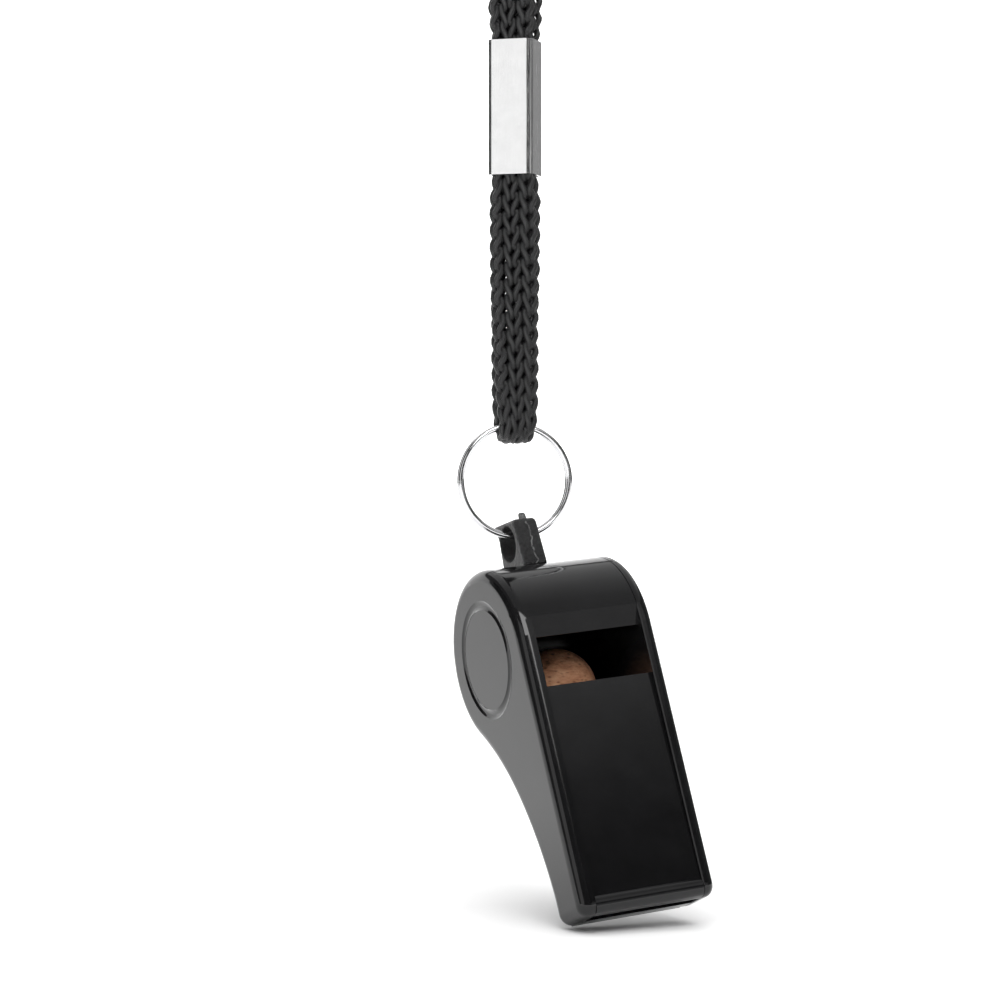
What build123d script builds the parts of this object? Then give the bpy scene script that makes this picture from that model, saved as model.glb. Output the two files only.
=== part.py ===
"""A pea whistle of moulded plastic on a knitted lanyard: two-part body, cork pea, split ring, crimp and cord.

Millimetres. +Z is up, and the lanyard hangs straight down from the origin, which is the inside of its top
bend, where a peg, a hook or a hand holds it. -Y is the side of the whistle's window and plate. The whistle
hangs on the ring with its own axes turned: in its own frame x is its width, y its depth and z its length.
"""

import os
from math import cos, pi, radians, sin, sqrt, tan

from build123d import *

# ---- driving dimensions -------------------------------------------------------------------------------

# whistle body, in its own frame, with the origin on the barrel's axis at half its width
barrel_radius = 12.1
barrel_wall = 1.1
whistle_length = 50.0
whistle_width = 19.8
cheek_thickness = 2.2
cover_thickness = 1.8
front_slope = 1.2  # degrees that the front converges on the barrel's axis towards the mouth
neck_angle = -46.0  # where the back leaves the barrel's circle, in degrees from +y
mouth_back = -2.85  # y of the back edge at the mouth
mouth_corner = 1.75  # radius of the mouth's front and back corners
rim_radius = 1.6  # rounding of the left cheek's outer edge
cover_rim_radius = 1.25
groove_radius, groove_width, groove_depth = 7.4, 1.3, 0.2
seam_chamfer = 0.15

# window, ramp and windway
ramp_angle = 10.6  # degrees above the front where the ramp starts
ramp_edge = (-11.05, -0.5)  # the edge that the air meets, in y and z
plate_top = -7.25
plate_bottom = -36.5
recess_top, recess_bottom = 0.9, 0.4  # how far the plate lies behind the rims
plate_inner_top, plate_inner_bottom = -9.8, -9.5
floor_top = (-8.6, -7.6)
floor_bottom = -6.45
bead_radius = 1.3
front_bead_centre = (-10.05, -36.5)
back_bead_centre = (-2.95, -36.45)

# lug on the barrel's crest
lug_width = 3.5
eye_centre = (2.3, 16.4)
eye_radius = 2.4
lug_front_corner, lug_back_corner = 1.5, 0.9
lug_edge, eye_edge = 0.6, 0.25

# pea
pea_radius = 5.6
pea_gap = 0.15

# split ring: two coils of round wire side by side, joined by one step across at the top
ring_radius = 7.645
wire_diameter = 0.84
coil_pitch = 0.9
step_from, step_to = 58.7, 122.0  # degrees round the ring, from its own +x

# lanyard: a flat knitted cord, one clamp, a small loop below and a hanging loop above
cord_width = 5.6
cord_thickness = 2.0
strand_offset = 1.15  # from the lanyard's middle to the middle of each strand in the clamp
peg_radius = 15.0
neck_drop = 108.5
straight_above_crimp = 7.0
crimp_length = 18.6
crimp_width, crimp_depth, crimp_wall = 6.55, 5.4, 0.4
crimp_corner = 0.85
crimp_slit = 0.5
lower_drop = 34.6  # from the clamp to the wire at the ring's top
bight_inner_radius = 1.2
bight_rise = 0.15  # from the wire at the ring's top up to the middle of the loop's lower bend
spread_height = 14.0  # over which the two strands part, above the ring

# how the pieces hang
ring_turn = 12.0  # about +Z
clamp_turn = -17.0  # about +Z
lug_on_ring = 2.8  # degrees round the ring from its lowest point
whistle_turn, whistle_lean, whistle_tilt = 25.5, -15.3, -13.3  # about Z, then X, then Y
wire_in_eye = (2.3, 17.5)  # y and z of the wire in the whistle's frame


# ---- places and planes --------------------------------------------------------------------------------

crimp_top = -neck_drop
crimp_bottom = crimp_top - crimp_length
ring_top = crimp_bottom - lower_drop
ring_centre = Vector(0, 0, ring_top - ring_radius)


def turned(angle, direction=(1, 0, 0)):
    """A direction turned about +Z."""
    return Vector(*direction).rotate(Axis.Z, angle)


def hung(direction):
    """A direction of the whistle's own frame, as it hangs."""
    turned_x = Vector(*direction).rotate(Axis.Z, whistle_turn)
    return turned_x.rotate(Axis.X, whistle_lean).rotate(Axis.Y, whistle_tilt)


ring_x = turned(ring_turn)
wire_at_lug = ring_centre + ring_x * (ring_radius * sin(radians(lug_on_ring)))
wire_at_lug = wire_at_lug - Vector(0, 0, ring_radius * cos(radians(lug_on_ring)))
barrel_centre = wire_at_lug - hung((0, wire_in_eye[0], wire_in_eye[1]))
whistle = Plane(origin=barrel_centre, x_dir=hung((1, 0, 0)), z_dir=hung((0, 0, 1)))

left_face = -whistle_width / 2
right_face = whistle_width / 2
seam = right_face - cover_thickness
chamber_left = left_face + cheek_thickness
inner_width = seam - chamber_left
chamber_radius = barrel_radius - barrel_wall
mouth_z = barrel_radius - whistle_length


def side_plane(x):
    """The plane across the whistle at x: its sketches are drawn in y and z, and it faces +x."""
    return Plane(
        origin=whistle.from_local_coords((x, 0, 0)),
        x_dir=whistle.y_dir,
        z_dir=whistle.x_dir,
    )


def front_y(z, depth=0.0):
    """y of the cheeks' straight front edge at z, or of a surface that lies depth behind it."""
    slope = radians(front_slope)
    return depth - barrel_radius / cos(slope) - z * tan(slope)


# ---- the whistle seen from the side: a barrel with a neck that tapers to the mouth --------------------
# drawn flat, with y of the whistle to the right and z up, and placed on a side plane for each cheek

slope = radians(front_slope)
neck_start = (barrel_radius * cos(radians(neck_angle)), barrel_radius * sin(radians(neck_angle)))
neck_start_direction = (sin(radians(neck_angle)), -cos(radians(neck_angle)))
neck_end = (mouth_back, mouth_z)
neck_points = [neck_start, (3.6, -14.4), (0.1, -21.2), (-2.1, -28.5), (-2.95, -34.6), neck_end]
front_start = (-barrel_radius * cos(slope), -barrel_radius * sin(slope))
front_end = (front_y(mouth_z), mouth_z)

with BuildSketch() as cheek_profile:
    with BuildLine():
        CenterArc((0, 0), barrel_radius, neck_angle, 180 + front_slope - neck_angle)
        Line(front_start, front_end)
        Line(front_end, neck_end)
        Spline(*neck_points, tangents=[neck_start_direction, (0.05, -1)])
    make_face()
    fillet(cheek_profile.vertices().group_by(Axis.Y)[0], mouth_corner)

# ---- body shell: left cheek, barrel, plate, windway floor and lug in one moulding ---------------------

ramp_start = (
    -barrel_radius * cos(radians(ramp_angle)),
    barrel_radius * sin(radians(ramp_angle)),
)
# the shallow ring in each cheek is cut by a circle that is turned round the barrel's axis
groove_circle = ((groove_width / 2) ** 2 + groove_depth**2) / (2 * groove_depth)
groove_lift = groove_circle - groove_depth
groove_plane = Plane(origin=barrel_centre, x_dir=whistle.x_dir, z_dir=-whistle.z_dir)

outside = -barrel_radius - 2.0
below = mouth_z - 2.0

ramp_cut = [
    ramp_start,
    (outside, ramp_start[1]),
    (outside, ramp_edge[1]),
    ramp_edge,
]
# the window's sides run on into the chamber, so no skin is left between the two
window_inner = -9.0
window_cut = [
    (outside, ramp_edge[1]),
    (outside, plate_top),
    (window_inner, plate_top),
    (window_inner, ramp_edge[1]),
]
recess_cut = [
    (outside, plate_top),
    (front_y(plate_top, recess_top), plate_top),
    (front_y(below, recess_bottom), below),
    (outside, below),
]
windway_cut = [
    (plate_inner_top, plate_top + 2.0),
    (plate_inner_top, plate_top),
    (plate_inner_bottom, below),
    (floor_bottom, below),
    floor_top,
    (floor_top[0] + 1.0, floor_top[1]),
    (floor_top[0] + 1.0, plate_top + 2.0),
]
# the hollow between the windway's floor and the back wall, which keeps the walls about 1.5 thick
core_cut = [
    (-6.5, -10.7),
    (-2.0, -12.4),
    (2.2, -12.9),
    (-1.2, -20.5),
    (-3.5, -27.5),
    (-4.2, -31.5),
    (-5.4, -31.5),
]
lug_profile = [(-1.85, 11.3), (-1.3, 18.95), (5.7, 20.1), (5.2, 17.8), (6.3, 10.5)]

with BuildPart() as lug:
    with BuildSketch(side_plane(-lug_width / 2)) as lug_sketch:
        Polygon(*lug_profile, align=None)
        lug_tops = lug_sketch.vertices().sort_by(Axis(barrel_centre, whistle.z_dir))
        fillet(lug_tops[-1], lug_back_corner)
        lug_tops = lug_sketch.vertices().sort_by(Axis(barrel_centre, whistle.y_dir))
        fillet(lug_tops[1], lug_front_corner)
    extrude(amount=lug_width)
    lug_sides = lug.faces().sort_by(Axis(barrel_centre, whistle.x_dir))
    fillet(lug_sides[0].edges() + lug_sides[-1].edges(), lug_edge)
    with BuildSketch(side_plane(-lug_width / 2)):
        with Locations(eye_centre):
            Circle(eye_radius)
    extrude(amount=lug_width, mode=Mode.SUBTRACT)
    lug_sides = lug.faces().sort_by(Axis(barrel_centre, whistle.x_dir))
    eye_rims = lug_sides[0].edges().filter_by(GeomType.CIRCLE).sort_by(SortBy.LENGTH)[-1:]
    eye_rims += lug_sides[-1].edges().filter_by(GeomType.CIRCLE).sort_by(SortBy.LENGTH)[-1:]
    fillet(eye_rims, eye_edge)

with BuildPart() as body_shell:
    with BuildSketch(side_plane(left_face)):
        add(cheek_profile.sketch)
    extrude(amount=cheek_thickness + inner_width)
    left_cheek_edges = body_shell.faces().sort_by(Axis(barrel_centre, whistle.x_dir))[0].edges()
    fillet(left_cheek_edges, rim_radius)
    with BuildSketch(groove_plane):
        with Locations((left_face - groove_lift, groove_radius)):
            Circle(groove_circle)
    revolve(axis=Axis(barrel_centre, whistle.x_dir), mode=Mode.SUBTRACT)
    with BuildSketch(side_plane(chamber_left)):
        Polygon(*recess_cut, align=None)
    extrude(amount=inner_width, mode=Mode.SUBTRACT)
    with BuildSketch(side_plane(chamber_left)):
        with Locations(front_bead_centre, back_bead_centre):
            Circle(bead_radius)
    extrude(amount=inner_width)
    with BuildSketch(side_plane(chamber_left)):
        Circle(chamber_radius)
        Polygon(*ramp_cut, align=None)
        Polygon(*window_cut, align=None)
        Polygon(*windway_cut, align=None)
        Polygon(*core_cut, align=None)
    extrude(amount=inner_width, mode=Mode.SUBTRACT)
    add(lug.part)
body_shell.part.label = "body_shell"

# ---- cheek cover: the flat right side, welded onto the body shell -------------------------------------

with BuildPart() as cheek_cover:
    with BuildSketch(side_plane(seam)):
        add(cheek_profile.sketch)
    extrude(amount=cover_thickness)
    right_cheek_edges = cheek_cover.faces().sort_by(Axis(barrel_centre, whistle.x_dir))[-1].edges()
    fillet(right_cheek_edges, cover_rim_radius)
    with BuildSketch(groove_plane):
        with Locations((right_face + groove_lift, groove_radius)):
            Circle(groove_circle)
    revolve(axis=Axis(barrel_centre, whistle.x_dir), mode=Mode.SUBTRACT)
    seam_edges = cheek_cover.faces().sort_by(Axis(barrel_centre, whistle.x_dir))[0].edges()
    chamfer(seam_edges, seam_chamfer)
cheek_cover.part.label = "cheek_cover"

# ---- cork pea: loose in the chamber, at rest on its lowest line ---------------------------------------

pea_orbit_radius = chamber_radius - pea_gap - pea_radius
down = Vector(0, 0, -1)
down_y, down_z = down.dot(whistle.y_dir), down.dot(whistle.z_dir)
down_length = sqrt(down_y**2 + down_z**2)
pea_local = (0, pea_orbit_radius * down_y / down_length, pea_orbit_radius * down_z / down_length)
pea_centre = whistle.from_local_coords(pea_local)

with BuildPart(Plane(origin=pea_centre, x_dir=whistle.x_dir, z_dir=whistle.z_dir)) as cork_pea:
    Sphere(pea_radius)
cork_pea.part.label = "cork_pea"

# ---- split ring -----------------------------------------------------------------------------------------

ring_normal = ring_x.cross(Vector(0, 0, 1)) * -1
front_coil = Plane(origin=ring_centre - ring_normal * (coil_pitch / 2), x_dir=ring_x, z_dir=-ring_normal)
back_coil = Plane(origin=ring_centre + ring_normal * (coil_pitch / 2), x_dir=ring_x, z_dir=-ring_normal)


def on_ring(angle, depth):
    """A point of the wire's middle line: angle round from the ring's +x, depth along its axis."""
    across = ring_x * (ring_radius * cos(radians(angle)))
    return ring_centre + across + Vector(0, 0, ring_radius * sin(radians(angle))) + ring_normal * depth


def round_ring(angle):
    """The direction of the wire there."""
    return ring_x * -sin(radians(angle)) + Vector(0, 0, cos(radians(angle)))


coil_arc = 360 - (step_to - step_from)
step_middle = (step_from + step_to) / 2

with BuildPart() as split_ring:
    with BuildLine() as coil:
        with BuildLine(front_coil):
            CenterArc((0, 0), ring_radius, step_to, coil_arc)
        Spline(
            on_ring(step_from, -coil_pitch / 2),
            on_ring(step_middle, 0),
            on_ring(step_to, coil_pitch / 2),
            tangents=[round_ring(step_from), round_ring(step_to)],
        )
        with BuildLine(back_coil):
            CenterArc((0, 0), ring_radius, step_to, coil_arc)
    with BuildSketch(Plane(origin=on_ring(step_to, -coil_pitch / 2), z_dir=round_ring(step_to))):
        Circle(wire_diameter / 2)
    sweep(path=coil.line)
split_ring.part.label = "split_ring"

# ---- crimp sleeve: sheet metal folded round both strands, with its two edges meeting at the back ------

clamp_plane = Plane(origin=(0, 0, crimp_bottom), x_dir=turned(clamp_turn), z_dir=(0, 0, 1))

with BuildPart() as crimp_sleeve:
    with BuildSketch(clamp_plane):
        RectangleRounded(crimp_width, crimp_depth, crimp_corner)
        inner_width_of_crimp = crimp_width - 2 * crimp_wall
        inner_depth_of_crimp = crimp_depth - 2 * crimp_wall
        inner_corner = crimp_corner - crimp_wall
        RectangleRounded(inner_width_of_crimp, inner_depth_of_crimp, inner_corner, mode=Mode.SUBTRACT)
        with Locations((0, crimp_depth / 2)):
            Rectangle(crimp_slit, 3 * crimp_wall, mode=Mode.SUBTRACT)
    extrude(amount=crimp_length)
crimp_sleeve.part.label = "crimp_sleeve"

# ---- lanyard cord -----------------------------------------------------------------------------------------
# Each loop lies in an upright plane. Its route is drawn as (across the loop, height), strand to strand.

bight_radius = bight_inner_radius + cord_thickness / 2
bight_bottom = ring_top + bight_rise - bight_radius

lower_route = [
    (-strand_offset, crimp_bottom),
    (-strand_offset, bight_bottom + bight_radius + spread_height),
    (-bight_radius, bight_bottom + bight_radius + 2.0),
    (-bight_radius, bight_bottom),
    (bight_radius, bight_bottom),
    (bight_radius, bight_bottom + bight_radius + 2.0),
    (strand_offset, bight_bottom + bight_radius + spread_height),
    (strand_offset, crimp_bottom),
]
bight_fillet = 0.98 * bight_radius
lower_radii = [40.0, 6.0, bight_fillet, bight_fillet, 6.0, 40.0]

peg_bend = peg_radius + cord_thickness / 2
peg_corner_count = 4
leg_angle = 9.6  # how far each strand of the hanging loop leans out
corner_turn = (180 + 2 * leg_angle) / peg_corner_count
corner_reach = peg_bend / cos(radians(corner_turn / 2))
corner_angles = [180 + leg_angle - (k + 0.5) * corner_turn for k in range(peg_corner_count)]
peg_corners = [
    (corner_reach * cos(radians(a)), -peg_radius + corner_reach * sin(radians(a)))
    for a in corner_angles
]
neck_route = [
    (-strand_offset, crimp_bottom),
    (-strand_offset, crimp_top + straight_above_crimp),
    *peg_corners,
    (strand_offset, crimp_top + straight_above_crimp),
    (strand_offset, crimp_bottom),
]
neck_radii = [60.0] + [0.99 * peg_bend] * peg_corner_count + [60.0]


def loop_plane(turn):
    """The upright plane of a loop: its x runs across the loop, from the front strand to the back one."""
    return Plane(origin=(0, 0, 0), x_dir=turned(turn, (0, 1, 0)), z_dir=turned(turn))


def report_cord(name, part, path):
    """Prints a cord's length, and its volume over its section times that length, which is 1 for a clean tube."""
    section = (cord_width - cord_thickness) * cord_thickness + pi * cord_thickness**2 / 4
    length = sum(edge.length for edge in path.edges())
    print(f"{name}: length {length:.1f} mm, volume ratio {part.volume / section / length:.4f}")


with BuildPart() as lanyard_lower_loop:
    with BuildLine(loop_plane(ring_turn)) as lower_path:
        FilletPolyline(*lower_route, radius=lower_radii)
    with BuildSketch(Plane(origin=lower_path.line @ 0, x_dir=turned(ring_turn), z_dir=lower_path.line % 0)):
        SlotOverall(cord_width, cord_thickness)
    sweep(path=lower_path.line)
lanyard_lower_loop.part.label = "lanyard_lower_loop"

with BuildPart() as lanyard_neck_loop:
    with BuildLine(loop_plane(clamp_turn)) as neck_path:
        FilletPolyline(*neck_route, radius=neck_radii)
    with BuildSketch(Plane(origin=neck_path.line @ 0, x_dir=turned(clamp_turn), z_dir=neck_path.line % 0)):
        SlotOverall(cord_width, cord_thickness)
    sweep(path=neck_path.line)
lanyard_neck_loop.part.label = "lanyard_neck_loop"

print("bend radii below:", lower_radii)
print("bend radii above:", neck_radii)
report_cord("lower loop", lanyard_lower_loop.part, lower_path.line)
report_cord("neck loop", lanyard_neck_loop.part, neck_path.line)

# ---- files ------------------------------------------------------------------------------------------------

os.makedirs("parts", exist_ok=True)
export_step(body_shell.part, "parts/body_shell.step")
export_step(cheek_cover.part, "parts/cheek_cover.step")
export_step(cork_pea.part, "parts/cork_pea.step")
export_step(split_ring.part, "parts/split_ring.step")
export_step(crimp_sleeve.part, "parts/crimp_sleeve.step")
export_step(lanyard_lower_loop.part, "parts/lanyard_lower_loop.step")
export_step(lanyard_neck_loop.part, "parts/lanyard_neck_loop.step")
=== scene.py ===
"""Training whistle on a knitted lanyard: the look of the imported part. Points are in millimetres, as in the part."""
from math import cos, pi, radians, sin

import bmesh
import bpy
import numpy as np
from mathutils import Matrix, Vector


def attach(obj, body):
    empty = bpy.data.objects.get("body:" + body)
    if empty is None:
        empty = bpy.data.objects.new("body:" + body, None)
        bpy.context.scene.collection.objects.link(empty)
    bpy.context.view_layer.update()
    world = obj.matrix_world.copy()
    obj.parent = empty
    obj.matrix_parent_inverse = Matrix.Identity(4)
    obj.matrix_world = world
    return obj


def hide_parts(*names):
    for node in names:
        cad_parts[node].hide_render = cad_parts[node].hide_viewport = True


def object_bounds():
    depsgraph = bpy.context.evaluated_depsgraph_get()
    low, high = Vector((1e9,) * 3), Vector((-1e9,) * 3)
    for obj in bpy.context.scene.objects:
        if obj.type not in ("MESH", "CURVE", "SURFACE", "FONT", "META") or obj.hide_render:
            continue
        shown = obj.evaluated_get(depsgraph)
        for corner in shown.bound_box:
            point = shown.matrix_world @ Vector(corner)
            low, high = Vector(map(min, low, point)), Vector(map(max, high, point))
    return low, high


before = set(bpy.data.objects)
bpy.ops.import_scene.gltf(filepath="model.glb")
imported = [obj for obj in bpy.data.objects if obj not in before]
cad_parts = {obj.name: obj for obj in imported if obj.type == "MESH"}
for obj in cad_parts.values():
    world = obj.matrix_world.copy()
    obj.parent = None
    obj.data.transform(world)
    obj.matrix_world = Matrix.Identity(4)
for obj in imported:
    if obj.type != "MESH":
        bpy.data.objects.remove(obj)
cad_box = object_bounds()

MM = 0.001
MIX_NUMBER_A, MIX_NUMBER_B = 2, 3  # a mix node's inputs for numbers
MIX_COLOUR_A, MIX_COLOUR_B = 6, 7  # and for colours
MIX_COLOUR_RESULT = 2

# ---- the whistle's own axes, with the origin on the barrel's axis, as it hangs at rest -----------------
BARREL = np.array([5.0861, -6.5425, -192.6470])
AXIS_X = np.array([0.904511, 0.415253, 0.097086])
AXIS_Y = np.array([-0.364174, 0.870595, -0.330819])
AXIS_Z = np.array([-0.221896, 0.263873, 0.938687])


def placed(points):
    """Points of the whistle's own frame as it hangs, in metres."""
    p = np.atleast_2d(np.asarray(points, float))
    return (BARREL + p[:, :1] * AXIS_X + p[:, 1:2] * AXIS_Y + p[:, 2:3] * AXIS_Z) * MM


def new_object(name, data):
    """An object of the scene for a mesh, a curve, a light or the camera."""
    obj = bpy.data.objects.new(name, data)
    bpy.context.collection.objects.link(obj)
    return obj


def turned(angle):
    """Directions across and through a strand that is turned by angle about +Z."""
    a = radians(angle)
    return np.array([cos(a), sin(a), 0.0]), np.array([-sin(a), cos(a), 0.0])


# ---- materials --------------------------------------------------------------------------------------------

class Nodes:
    """A small helper for node trees."""

    def __init__(self, name):
        self.material = bpy.data.materials.new(name)
        self.material.use_nodes = True
        self.tree = self.material.node_tree
        self.shader = self.tree.nodes["Principled BSDF"]
        self.coords = self.tree.nodes.new("ShaderNodeTexCoord")

    def set(self, **values):
        for key, value in values.items():
            self.shader.inputs[key.replace("_", " ")].default_value = value

    def node(self, kind, **values):
        n = self.tree.nodes.new(kind)
        for key, value in values.items():
            if key in n.inputs:
                n.inputs[key].default_value = value
            else:
                setattr(n, key, value)
        return n

    def link(self, a, b):
        self.tree.links.new(a, b)

    def mapping(self, scale, output="Object"):
        m = self.node("ShaderNodeMapping")
        m.inputs["Scale"].default_value = scale
        self.link(self.coords.outputs[output], m.inputs["Vector"])
        return m.outputs["Vector"]

    def noise(self, scale, detail=4.0, rough=0.5, stretch=(1, 1, 1), output="Object"):
        n = self.node("ShaderNodeTexNoise", Scale=scale, Detail=detail, Roughness=rough)
        self.link(self.mapping(stretch, output), n.inputs["Vector"])
        return n.outputs["Fac"]

    def ramp(self, fac, stops):
        r = self.node("ShaderNodeValToRGB")
        self.link(fac, r.inputs["Fac"])
        ramp = r.color_ramp
        while len(ramp.elements) < len(stops):
            ramp.elements.new(0.5)
        for element, (position, colour) in zip(ramp.elements, stops):
            element.position = position
            element.color = colour if len(colour) == 4 else (*colour, 1.0)
        return r.outputs["Color"]

    def span(self, fac, low, high, start=0.0, end=1.0):
        m = self.node("ShaderNodeMapRange")
        self.link(fac, m.inputs["Value"])
        for key, value in (("From Min", start), ("From Max", end), ("To Min", low), ("To Max", high)):
            m.inputs[key].default_value = value
        return m.outputs["Result"]

    def bump(self, height, strength, distance, below=None):
        b = self.node("ShaderNodeBump", Strength=strength, Distance=distance)
        self.link(height, b.inputs["Height"])
        if below is not None:
            self.link(below, b.inputs["Normal"])
        return b.outputs["Normal"]

    def to(self, socket, name):
        self.link(socket, self.shader.inputs[name])


def black_plastic(name, gloss, lug=False):
    """Moulded black ABS: a slow ripple from cooling, fine grain, and hazy handling marks in the gloss. Where the
    shell rises into its lug the mould is coarse, and the skin is rough and a little greyer."""
    m = Nodes(name)
    m.set(IOR=1.5, Specular_IOR_Level=0.43)
    tone = m.ramp(
        m.noise(260, 3, 0.5),
        [(0.3, (0.0040, 0.0040, 0.0043)), (0.75, (0.0062, 0.0062, 0.0066))])
    smooth = m.span(m.noise(90, 5, 0.65, (1, 1, 0.35)), gloss * 0.85, gloss * 1.3, 0.3, 0.75)
    slow = m.bump(m.noise(110, 2, 0.4), 0.10, 0.00025)
    skin = m.bump(m.noise(2600, 3, 0.6), 0.06, 0.00003, slow)
    if not lug:
        m.to(tone, "Base Color")
        m.to(smooth, "Roughness")
        m.to(skin, "Normal")
        return m.material
    lug_skin_from, lug_skin_full = 0.0120, 0.0126  # metres above the barrel's axis
    offset = m.node("ShaderNodeVectorMath", operation="SUBTRACT")
    m.link(m.coords.outputs["Object"], offset.inputs[0])
    offset.inputs[1].default_value = tuple(BARREL * MM)
    height = m.node("ShaderNodeVectorMath", operation="DOT_PRODUCT")
    m.link(offset.outputs[0], height.inputs[0])
    height.inputs[1].default_value = tuple(AXIS_Z)
    above = m.span(height.outputs["Value"], 0.0, 1.0, lug_skin_from, lug_skin_full)
    coarse = m.noise(2200, 5, 0.65)
    colours = m.node("ShaderNodeMix", data_type="RGBA")
    m.link(above, colours.inputs["Factor"])
    m.link(tone, colours.inputs[MIX_COLOUR_A])
    greyer = m.ramp(coarse, [(0.3, (0.006, 0.006, 0.006)), (0.7, (0.020, 0.020, 0.021))])
    m.link(greyer, colours.inputs[MIX_COLOUR_B])
    m.to(colours.outputs[MIX_COLOUR_RESULT], "Base Color")
    rough = m.node("ShaderNodeMix", data_type="FLOAT")
    m.link(above, rough.inputs["Factor"])
    m.link(smooth, rough.inputs[MIX_NUMBER_A])
    m.link(m.span(m.noise(1500, 4, 0.6), 0.22, 0.5), rough.inputs[MIX_NUMBER_B])
    m.to(rough.outputs[0], "Roughness")
    torn = m.node("ShaderNodeBump", Distance=0.0006)
    m.link(m.span(above, 0.0, 0.9), torn.inputs["Strength"])
    m.link(coarse, torn.inputs["Height"])
    m.link(skin, torn.inputs["Normal"])
    m.to(torn.outputs["Normal"], "Normal")
    return m.material


def rough_plastic(name):
    """Torn plastic, whitened where the sprue was broken off; on the mould line the same pale flecks are painted
    highlights.
    """
    m = Nodes(name)
    m.set(IOR=1.5)
    # pale flecks: real stress whitening on the sprue's stub, painted highlights along the mould line
    m.to(m.ramp(m.noise(900, 5, 0.6), [(0.35, (0.010,) * 3), (0.7, (0.16,) * 3)]), "Base Color")
    m.to(m.span(m.noise(1500, 4, 0.6), 0.2, 0.5), "Roughness")
    coarse = m.bump(m.noise(900, 4, 0.6), 0.6, 0.00025)
    m.to(m.bump(m.noise(3200, 3, 0.6), 0.3, 0.00005, coarse), "Normal")
    return m.material


def plated(name, colour, rough, scratch, dents):
    """Nickel plate: bright, with fine drawing marks along scratch, slightly uneven gloss and shallow dents."""
    m = Nodes(name)
    m.set(Metallic=1.0)
    cloud = m.noise(500, 4, 0.6)
    dark = tuple(c * 0.94 for c in colour)
    m.to(m.ramp(cloud, [(0.25, dark), (0.7, colour)]), "Base Color")
    m.to(m.span(m.noise(1400, 5, 0.6, scratch), rough * 0.6, rough * 1.8, 0.3, 0.7), "Roughness")
    lines = m.bump(m.noise(2200, 4, 0.6, scratch), 0.12, 0.00002)
    m.to(m.bump(m.noise(180, 2, 0.4), dents, 0.0002, lines), "Normal")
    return m.material


def cork(name):
    """Pressed cork: warm brown, with dark pores, pale flecks and long growth streaks."""
    m = Nodes(name)
    m.set(IOR=1.4)
    grain = m.noise(420, 6, 0.7, (1, 1, 2.2))
    browns = [
        (0.22, (0.14, 0.055, 0.028)),
        (0.42, (0.44, 0.20, 0.105)),
        (0.60, (0.62, 0.33, 0.19)),
        (0.80, (0.80, 0.52, 0.34)),
    ]
    colour = m.ramp(grain, browns)
    pores = m.node("ShaderNodeTexVoronoi", Scale=900.0)
    m.link(m.mapping((1, 1, 2.0)), pores.inputs["Vector"])
    dark = m.ramp(pores.outputs["Distance"], [(0.08, (0.30, 0.22, 0.18)), (0.32, (1, 1, 1))])
    mix = m.node("ShaderNodeMix", data_type="RGBA", blend_type="MULTIPLY")
    mix.inputs["Factor"].default_value = 0.75
    m.link(colour, mix.inputs[MIX_COLOUR_A])
    m.link(dark, mix.inputs[MIX_COLOUR_B])
    m.to(mix.outputs[MIX_COLOUR_RESULT], "Base Color")
    m.to(m.span(grain, 0.62, 0.85), "Roughness")
    deep = m.bump(grain, 0.7, 0.0003)
    m.to(m.bump(pores.outputs["Distance"], 0.5, 0.00015, deep), "Normal")
    return m.material


def yarn(name):
    """Black polyester yarn: many fine filaments, so a soft sheen and lines along the twist."""
    m = Nodes(name)
    m.set(IOR=1.5, Sheen_Weight=0.02, Sheen_Roughness=0.4)
    along = m.noise(1.0, 4, 0.6, (3.0, 26.0, 1.0), "UV")
    m.to(m.ramp(along, [(0.25, (0.002, 0.002, 0.0023)), (0.75, (0.008, 0.008, 0.0085))]), "Base Color")
    m.to(m.span(m.noise(1400, 3, 0.6), 0.30, 0.5), "Roughness")
    ply = m.node("ShaderNodeTexWave", Scale=1.0, Distortion=0.6, Detail=1.0)
    ply.wave_type = "BANDS"
    ply.bands_direction = "DIAGONAL"
    m.link(m.mapping((2.2, 4.0, 0.0), "UV"), ply.inputs["Vector"])
    twist = m.bump(ply.outputs["Fac"], 0.55, 0.00012)
    m.to(m.bump(along, 0.6, 0.00006, twist), "Normal")
    return m.material


# ---- camera, level and straight on, about 0.4 m in front of the lanyard --------------------------------------
camera = bpy.data.cameras.new("camera")
camera.lens = 107.87
camera.sensor_width = 36.0
camera.clip_start = 0.01
camera_object = new_object("camera", camera)
camera_object.location = (-0.00205, -0.4150, -0.1720)
camera_object.rotation_euler = (radians(90), 0, 0)
bpy.context.scene.camera = camera_object


# ---- lanyard cord -------------------------------------------------------------------------------------------
YARN_SIDES = 8

def route_line(name, points):
    """The smooth centreline of a cord: points read from a NURBS spline that has the route as its control points."""
    curve = bpy.data.curves.new(name, "CURVE")
    curve.dimensions = "3D"
    curve.resolution_u = 24
    spline = curve.splines.new("NURBS")
    spline.points.add(len(points) - 1)
    for point, place in zip(spline.points, points):
        point.co = (*(c * MM for c in place), 1.0)
    spline.order_u = 3
    spline.use_endpoint_u = True
    holder = new_object(name, curve)
    mesh = bpy.data.meshes.new_from_object(holder)
    line = np.array([tuple(v.co) for v in mesh.vertices])
    bpy.data.objects.remove(holder)
    bpy.data.curves.remove(curve)
    bpy.data.meshes.remove(mesh)
    return line


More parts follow.
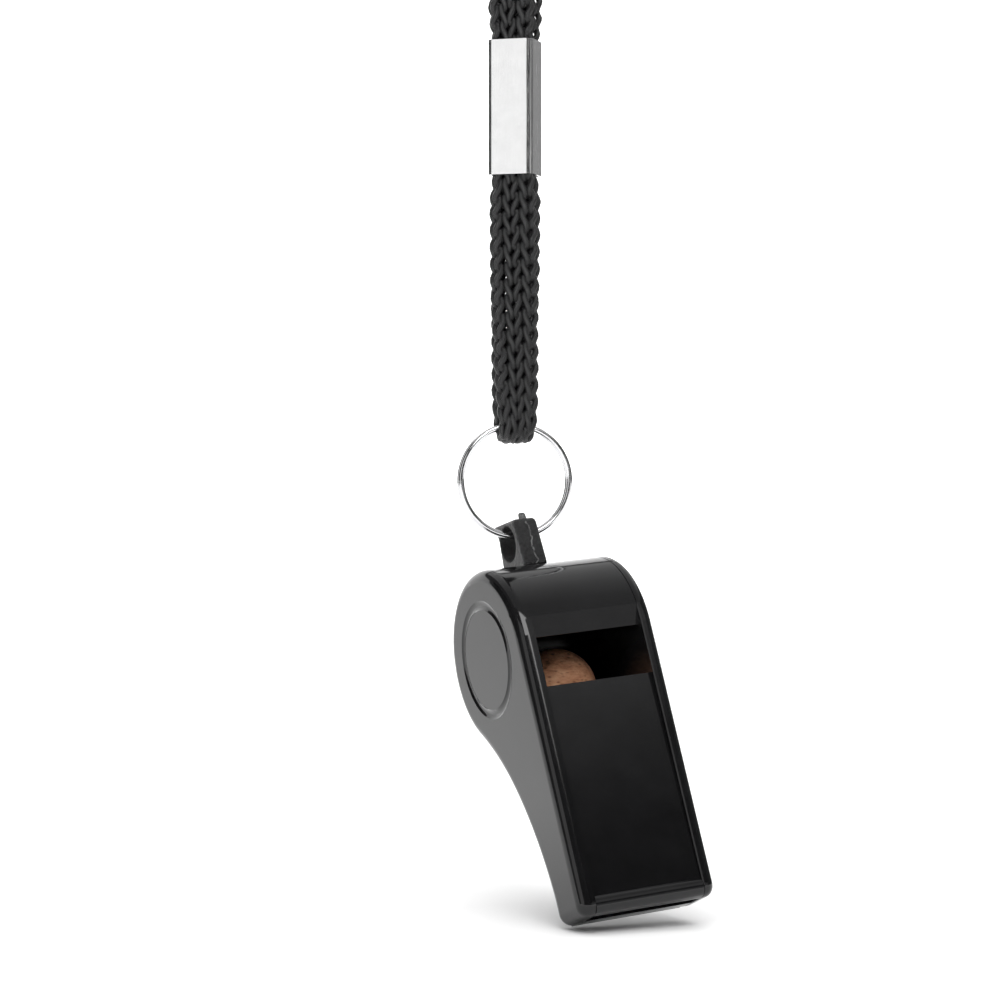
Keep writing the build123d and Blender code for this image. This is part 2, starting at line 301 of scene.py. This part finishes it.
def tube_mesh(name, path, radius, sides, material):
    """A mesh tube along path (n x 3, metres), with u along it in millimetres and v round it from 0 to 1 as its UVs.
    radius is a number or n numbers."""
    n = len(path)
    tangent = np.gradient(path, axis=0)
    tangent /= np.linalg.norm(tangent, axis=1)[:, None]
    normal = np.zeros_like(path)
    start = np.array([0.0, 0.0, 1.0]) if abs(tangent[0][2]) < 0.9 else np.array([0.0, 1.0, 0.0])
    current = start
    for i in range(n):
        current = current - tangent[i] * np.dot(current, tangent[i])
        current /= np.linalg.norm(current)
        normal[i] = current
    binormal = np.cross(tangent, normal)
    radius = np.broadcast_to(np.asarray(radius, float), (n,))
    angles = np.linspace(0, 2 * pi, sides, endpoint=False)
    ring = (np.cos(angles)[None, :, None] * normal[:, None, :]
            + np.sin(angles)[None, :, None] * binormal[:, None, :])
    vertices = (path[:, None, :] + ring * radius[:, None, None]).reshape(-1, 3)
    i, j = np.meshgrid(np.arange(n - 1), np.arange(sides), indexing="ij")
    k = (j + 1) % sides
    faces = np.stack([i * sides + j, i * sides + k, (i + 1) * sides + k, (i + 1) * sides + j], -1).reshape(-1, 4)
    steps = np.linalg.norm(np.diff(path, axis=0), axis=1)
    along = np.concatenate([[0], np.cumsum(steps)]) * 1000
    u = np.stack([along[i], along[i], along[i + 1], along[i + 1]], -1).reshape(-1)
    v = np.stack([j, j + 1, j + 1, j], -1).reshape(-1) / sides
    mesh = bpy.data.meshes.new(name)
    mesh.from_pydata(vertices.tolist(), [], faces.tolist())
    layer = mesh.uv_layers.new(name="along")
    layer.data.foreach_set("uv", np.stack([u, v], -1).reshape(-1))
    mesh.polygons.foreach_set("use_smooth", [True] * len(mesh.polygons))
    mesh.materials.append(material)
    mesh.update()
    return new_object(name, mesh)


def stadium(u, a, b):
    """Points and outward normals round a flattened tube of half width a and half thickness b, u from 0 to 1."""
    flat = 2 * (a - b)
    total = 2 * flat + 2 * pi * b
    d = (u % 1.0) * total
    x, y, nx, ny = (np.zeros_like(d) for _ in range(4))
    first = d < flat
    x[first], y[first], nx[first], ny[first] = (d - flat / 2)[first], -b[first], 0, -1
    e = d - flat
    second = (e >= 0) & (e < pi * b)
    q = -pi / 2 + e / b
    x[second] = (flat / 2 + b * np.cos(q))[second]
    y[second] = (b * np.sin(q))[second]
    nx[second], ny[second] = np.cos(q)[second], np.sin(q)[second]
    e = e - pi * b
    third = (e >= 0) & (e < flat)
    x[third], y[third], nx[third], ny[third] = (flat / 2 - e)[third], b[third], 0, 1
    e = e - flat
    last = e >= 0
    q = pi / 2 + e / b
    x[last] = (-flat / 2 + b * np.cos(q))[last]
    y[last] = (b * np.sin(q))[last]
    nx[last], ny[last] = np.cos(q)[last], np.sin(q)[last]
    return x, y, nx, ny


def knit(name, line, across, half_width, half_depth, material, along, phase, seed,
         wales=5, stitch=2.33, yarn_radius=0.45):
    """A tubular knitted cord along line: one yarn in a rising spiral of interlocked loops. across, half_width and
    half_depth are functions of the distance along it and of its length, all in millimetres. along is 1 or -1, for
    the end that the stitches point to, and phase is where round the cord the first one starts, from 0 to 1."""
    points = line * 1000
    steps = np.linalg.norm(np.diff(points, axis=0), axis=1)
    keep = np.concatenate([[True], steps > 1e-6])
    points = points[keep]
    steps = np.linalg.norm(np.diff(points, axis=0), axis=1)
    place = np.concatenate([[0], np.cumsum(steps)])
    length = place[-1]
    tangent = np.gradient(points, place, axis=0)
    tangent /= np.linalg.norm(tangent, axis=1)[:, None]

    per_wale = 20  # points of the yarn in each stitch
    loop = 1.7  # half a stitch's height
    lean = 1.6  # how far a stitch's legs lean, in radians of its turn
    relief = 0.30  # the legs stand out and the heads lie back by this much
    unevenness = (0.05, 0.0035, 0.035)  # of the height, of the place round the cord, and of the relief
    rise = stitch / (2 * pi * wales)
    first, last = -loop * 0.2, length + loop * 0.2
    t = np.arange(0, (last - first) / rise, 2 * pi / per_wale)
    random = np.random.default_rng(seed)
    ticks = np.arange(0, t[-1] + 10, 2.6)
    wobble = [np.interp(t, ticks, random.normal(0, 1, len(ticks))) for _ in range(3)]
    s = first + rise * t + along * loop * np.cos(t) * (1 + unevenness[0] * wobble[0])
    u = (t + lean * np.sin(2 * t)) / (2 * pi * wales) + phase + unevenness[1] * wobble[1]
    outward = -relief * np.cos(2 * t) + unevenness[2] * wobble[2]
    s = np.clip(s, 0.02, length - 0.02)
    centre = np.stack([np.interp(s, place, points[:, c]) for c in range(3)], -1)
    direction = np.stack([np.interp(s, place, tangent[:, c]) for c in range(3)], -1)
    direction /= np.linalg.norm(direction, axis=1)[:, None]
    wide = across(s, length)
    wide = wide - direction * np.sum(wide * direction, axis=1)[:, None]
    wide /= np.linalg.norm(wide, axis=1)[:, None]
    through = np.cross(direction, wide)
    a = half_width(s, length) - yarn_radius
    b = half_depth(s, length) - yarn_radius - 0.1
    x, y, nx, ny = stadium(u, a, b)
    squeeze = np.clip(b / 0.65, 0.4, 1.0)
    x, y = x + nx * outward * squeeze, y + ny * outward * squeeze
    path = (centre + wide * x[:, None] + through * y[:, None]) * MM
    return tube_mesh(name, path, yarn_radius * MM, YARN_SIDES, material)


def steps_between(values):
    """A function of distance and length that follows (share of length, value) pairs."""
    shares = [v[0] for v in values]
    numbers = [v[1] for v in values]
    return lambda s, length: np.interp(s / length, shares, numbers)


def facing(values):
    """A function that gives the across direction from (share of length, turn about +Z) pairs."""
    shares = [v[0] for v in values]
    angles = [v[1] for v in values]

    def direction(s, length):
        a = np.radians(np.interp(s / length, shares, angles))
        return np.stack([np.cos(a), np.sin(a), np.zeros_like(a)], -1)
    return direction


def strand(turn, depth, height):
    """A point of a loop's route: depth behind the loop's middle, turned about +Z."""
    through = turned(turn)[1]
    return tuple(through * depth + np.array([0, 0, height]))


cord_black = yarn("cord_yarn")

# the small loop: down the front from the clamp, under the ring's wire and up the back
lower_route = [
    strand(-17, -1.15, -121.0), strand(-10, -1.17, -137.0), strand(4, -1.2, -149.5), strand(12, -1.75, -159.0),
    strand(12, -1.83, -163.38), strand(12, 1.83, -163.38),
    strand(12, 1.75, -159.0), strand(4, 1.2, -149.5), strand(-10, 1.17, -137.0), strand(-17, 1.15, -121.0),
]
lower_line = route_line("lower_route", lower_route)
# share of the loop's length, and the turn or half size there: it untwists from the clamp to the ring, and the knit
# is squeezed inside the clamp and round the ring's wire
lower_face = facing([
    (0, -17), (0.08, -17), (0.2, -9), (0.34, 4), (0.44, 12),
    (0.56, 12), (0.66, 4), (0.8, -9), (0.92, -17), (1, -17)])
lower_width = steps_between([
    (0, 2.78), (0.07, 2.8), (0.11, 3.18), (0.25, 3.15), (0.40, 2.85), (0.46, 2.6), (0.5, 2.2),
    (0.54, 2.6), (0.60, 2.85), (0.75, 3.15), (0.89, 3.18), (0.93, 2.8), (1, 2.78)])
lower_depth = steps_between([
    (0, 1.05), (0.07, 1.05), (0.11, 1.14), (0.42, 1.14), (0.47, 0.95), (0.5, 0.84),
    (0.53, 0.95), (0.58, 1.14), (0.89, 1.14), (0.93, 1.05), (1, 1.05)])
lower_loop = knit("lower_loop_cord", lower_line, lower_face, lower_width, lower_depth, cord_black,
                  along=-1, phase=0.087, seed=3)
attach(lower_loop, "lanyard")
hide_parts("lanyard_lower_loop")

# the hanging loop: up through the clamp, round the peg and back
neck_route = [
    strand(-17, -1.15, -114.5), strand(-17, -1.15, -101.5),
    strand(-17, -16.52, -10.54), strand(-17, -8.38, 2.47), strand(-17, 8.38, 2.47), strand(-17, 16.52, -10.54),
    strand(-17, 1.15, -101.5), strand(-17, 1.15, -114.5),
]
neck_line = route_line("neck_route", neck_route)
neck_face = facing([(0, -17), (1, -17)])
neck_width = steps_between([(0, 2.78), (0.022, 2.78), (0.035, 3.15), (0.965, 3.15), (0.978, 2.78), (1, 2.78)])
neck_depth = steps_between([(0, 1.05), (0.022, 1.05), (0.035, 1.12), (0.965, 1.12), (0.978, 1.05), (1, 1.05)])
neck_loop = knit("neck_loop_cord", neck_line, neck_face, neck_width, neck_depth, cord_black,
                 along=1, phase=-0.047, seed=4)
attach(neck_loop, "lanyard")
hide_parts("lanyard_neck_loop")


# ---- materials of the pieces that keep their CAD shape ------------------------------------------------------

def dress(node, material):
    """Gives a CAD node one material."""
    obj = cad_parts[node]
    obj.data.materials.clear()
    obj.data.materials.append(material)


dress("body_shell", black_plastic("shell_plastic", 0.09, lug=True))
dress("cheek_cover", black_plastic("cover_plastic", 0.10))
dress("cork_pea", cork("pea_cork"))
dress("split_ring", plated("ring_nickel", (0.66, 0.66, 0.67), 0.12, (1, 1, 1), 0.05))
dress("crimp_sleeve", plated("clamp_nickel", (0.95, 0.95, 0.95), 0.16, (6, 6, 0.2), 0.06))


# ---- what the mould left on the lug: the broken sprue and a ragged line down the front ----------------------
torn_black = rough_plastic("torn_plastic")


def lug_front(z):
    """y of the lug's front at height z, in the whistle's own frame."""
    return -1.85 + (z - 11.3) * 0.0719


def gate_nub(centre, size, seed):
    """The stub of the sprue: a small uneven lump."""
    bm = bmesh.new()
    bmesh.ops.create_icosphere(bm, subdivisions=4, radius=1.0)
    random = np.random.default_rng(seed)
    waves = [(random.normal(0, 1.6, 3), random.uniform(0, 6)) for _ in range(7)]
    for v in bm.verts:
        p = np.array(v.co)
        swell = 1 + 0.26 * sum(sin(float(np.dot(w, p)) * 1.3 + shift) for w, shift in waves) / 2
        v.co = placed(np.array(centre) + p * swell * np.array(size))[0]
    mesh = bpy.data.meshes.new("gate_nub")
    bm.to_mesh(mesh)
    bm.free()
    mesh.polygons.foreach_set("use_smooth", [True] * len(mesh.polygons))
    mesh.materials.append(torn_black)
    return new_object("gate_nub", mesh)


def smoothed(values, window):
    """The running mean of values, which is window - 1 shorter."""
    return np.convolve(values, np.ones(window) / window, "valid")


def mould_flash(low, high, seed, points=90):
    """The ragged line that the mould's halves left, from height low to high."""
    z = np.linspace(low, high, points)
    random = np.random.default_rng(seed)
    x = 0.1 + smoothed(random.normal(0, 0.36, points + 8), 9)
    radius = 0.085 + 0.075 * smoothed(random.uniform(-1, 1, points + 4), 5)
    line = placed(np.stack([x, lug_front(z) + 0.02, z], -1))
    return tube_mesh("mould_flash", line, radius * MM, 8, torn_black)


for piece in (gate_nub((0.05, -0.35, 19.3), (0.42, 0.42, 0.62), 5), mould_flash(12.2, 18.4, 8)):
    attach(piece, "whistle")


# ---- floor, backdrop and light ------------------------------------------------------------------------------
floor_z = cad_box[0][2] - 0.0002


def paper(name):
    """White studio paper. It glows a little away from the object, so that only the contact shadow shows."""
    m = Nodes(name)
    m.to(m.ramp(m.noise(3, 2, 0.5), [(0.3, (0.90, 0.90, 0.90)), (0.7, (0.92, 0.92, 0.92))]), "Base Color")
    m.set(Roughness=0.85, Specular_IOR_Level=0.1)
    m.shader.inputs["Emission Color"].default_value = (1, 1, 1, 1)
    place = m.node("ShaderNodeSeparateXYZ")
    m.link(m.mapping((1, 1, 1)), place.inputs["Vector"])
    squares = []
    for axis, middle in (("X", 0.006), ("Y", -0.02)):  # the middle of the shadow, on the floor
        shift = m.node("ShaderNodeMath", operation="SUBTRACT")
        m.link(place.outputs[axis], shift.inputs[0])
        shift.inputs[1].default_value = middle
        square = m.node("ShaderNodeMath", operation="POWER")
        m.link(shift.outputs[0], square.inputs[0])
        square.inputs[1].default_value = 2.0
        squares.append(square.outputs[0])
    total = m.node("ShaderNodeMath", operation="ADD")
    m.link(squares[0], total.inputs[0])
    m.link(squares[1], total.inputs[1])
    far = m.node("ShaderNodeMath", operation="SQRT")
    m.link(total.outputs[0], far.inputs[0])
    near = m.node("ShaderNodeMath", operation="MAXIMUM")
    m.link(m.span(far.outputs[0], 0.0, 0.35, 0.022, 0.09), near.inputs[0])
    m.link(m.span(far.outputs[0], 0.0, 1.0, 0.30, 1.50), near.inputs[1])
    m.to(near.outputs[0], "Emission Strength")
    return m.material


def card_paint(name, shade):
    """Flat grey paint."""
    m = Nodes(name)
    m.to(m.ramp(m.noise(3, 2, 0.5), [(0.3, (shade * 0.9,) * 3), (0.7, (shade,) * 3)]), "Base Color")
    m.set(Roughness=0.9, Specular_IOR_Level=0.1)
    return m.material


def sweep_backdrop():
    """A pale floor that curves up into a wall far behind."""
    profile = [
        (-3.0, 0.0), (-1.0, 0.0), (0.6, 0.0), (1.2, 0.0), (1.5, 0.04),
        (1.72, 0.16), (1.84, 0.35), (1.88, 0.6), (1.88, 1.3)]
    columns = [-3.0, -1.0, 0.0, 1.0, 3.0]
    vertices = [(x, y, floor_z + z) for x in columns for y, z in profile]
    k = len(profile)
    faces = [(c * k + i, (c + 1) * k + i, (c + 1) * k + i + 1, c * k + i + 1)
             for c in range(len(columns) - 1) for i in range(k - 1)]
    mesh = bpy.data.meshes.new("backdrop")
    mesh.from_pydata(vertices, [], faces)
    mesh.polygons.foreach_set("use_smooth", [True] * len(mesh.polygons))
    mesh.materials.append(paper("backdrop_paper"))
    new_object("backdrop", mesh)


def card(name, centre, normal, width, height, shade):
    """A flat card that only reflections see. It faces along normal."""
    mesh = bpy.data.meshes.new(name)
    w, h = width / 2, height / 2
    mesh.from_pydata([(-w, -h, 0), (w, -h, 0), (w, h, 0), (-w, h, 0)], [], [(0, 1, 2, 3)])
    mesh.materials.append(card_paint(name + "_paint", shade))
    obj = new_object(name, mesh)
    obj.location = centre
    obj.rotation_euler = Vector(normal).to_track_quat("Z", "Y").to_euler()
    obj.visible_camera = False
    obj.visible_diffuse = False
    obj.visible_shadow = False
    return obj


def softbox(name, centre, target, width, height, power, glossy=True):
    """A rectangular light that faces target. Without glossy, reflections don't see it."""
    data = bpy.data.lights.new(name, "AREA")
    data.shape = "RECTANGLE"
    data.size, data.size_y = width, height
    data.energy = power
    obj = new_object(name, data)
    obj.location = centre
    obj.rotation_euler = (Vector(target) - Vector(centre)).to_track_quat("-Z", "Y").to_euler()
    obj.visible_glossy = glossy
    return obj


def glow_card(name, centre, target, width, height, stops):
    """A glowing card that only reflections see. stops are (distance up the card in metres, glow) pairs, or one."""
    obj = card(name, centre, Vector(target) - Vector(centre), width, height, 0.01)
    tree = obj.data.materials[0].node_tree
    shader = tree.nodes["Principled BSDF"]
    shader.inputs["Emission Color"].default_value = (1, 1, 1, 1)
    if len(stops) == 1:
        shader.inputs["Emission Strength"].default_value = stops[0][1]
        return obj
    place = tree.nodes.new("ShaderNodeSeparateXYZ")
    coords = tree.nodes.new("ShaderNodeTexCoord")
    tree.links.new(coords.outputs["Object"], place.inputs["Vector"])
    share = tree.nodes.new("ShaderNodeMapRange")
    share.inputs["From Min"].default_value = stops[0][0]
    share.inputs["From Max"].default_value = stops[-1][0]
    tree.links.new(place.outputs["Y"], share.inputs["Value"])
    curve = tree.nodes.new("ShaderNodeValToRGB")
    while len(curve.color_ramp.elements) < len(stops):
        curve.color_ramp.elements.new(0.5)
    for element, (up, glow) in zip(curve.color_ramp.elements, stops):
        element.position = (up - stops[0][0]) / (stops[-1][0] - stops[0][0])
        element.color = (glow, glow, glow, 1)
    tree.links.new(share.outputs["Result"], curve.inputs["Fac"])
    tree.links.new(curve.outputs["Color"], shader.inputs["Emission Strength"])
    return obj


sweep_backdrop()
middle = (0.0, -0.01, -0.17)
softbox("front_left_box", (-0.62, -0.80, -0.08), middle, 0.55, 0.9, 3.0, glossy=False)
softbox("front_box", (0.12, -0.75, 0.50), middle, 0.8, 0.5, 8.0)
softbox("top_box", (0.0, 0.1, 1.0), middle, 1.8, 1.8, 16.0, glossy=False)

# cards that the clamp's front, the ramp, the plate, the barrel and the right rim reflect, and two dark ones that
# put the dark lines in the ring
over_centre = (0.1, 0.35, 0.95)
glow_card("front_left_card", (-0.62, -0.80, -0.08), middle, 0.55, 0.9, [(0, 0.92)])
glow_card("ramp_card", (0.78, -0.66, -0.13), middle, 0.3, 0.3, [(0, 0.5)])
glow_card("plate_card", (0.44, -0.37, 0.20), middle, 0.42, 0.42,
          [(-0.11, 0.0), (-0.085, 0.2), (-0.05, 0.62), (0.2, 0.5)])
glow_card("over_card", over_centre, (over_centre[0], over_centre[1], 0.0), 2.2, 2.2,
          [(-1.1, 0.32), (-0.5, 0.36), (0.1, 0.72), (1.1, 0.85)])
glow_card("right_card", (0.70, 1.05, -0.05), middle, 1.5, 0.9, [(0, 0.22)])
card("front_card", (0.0, -1.3, 0.05), (0, 1, 0), 2.6, 0.9, 0.02)
card("left_card", (-0.85, 0.0, 0.05), (1, 0, 0), 0.8, 0.6, 0.02)

# the room beyond the paper looks as white as the paper, and lights the object only faintly
world = bpy.data.worlds.new("studio")
world.use_nodes = True
background = world.node_tree.nodes["Background"]
background.inputs["Color"].default_value = (1, 1, 1, 1)
rays = world.node_tree.nodes.new("ShaderNodeLightPath")
strength = world.node_tree.nodes.new("ShaderNodeMapRange")
strength.inputs["To Min"].default_value = 0.12
strength.inputs["To Max"].default_value = 1.05
world.node_tree.links.new(rays.outputs["Is Camera Ray"], strength.inputs["Value"])
world.node_tree.links.new(strength.outputs["Result"], background.inputs["Strength"])
bpy.context.scene.world = world
bpy.context.scene.view_settings.view_transform = "Standard"
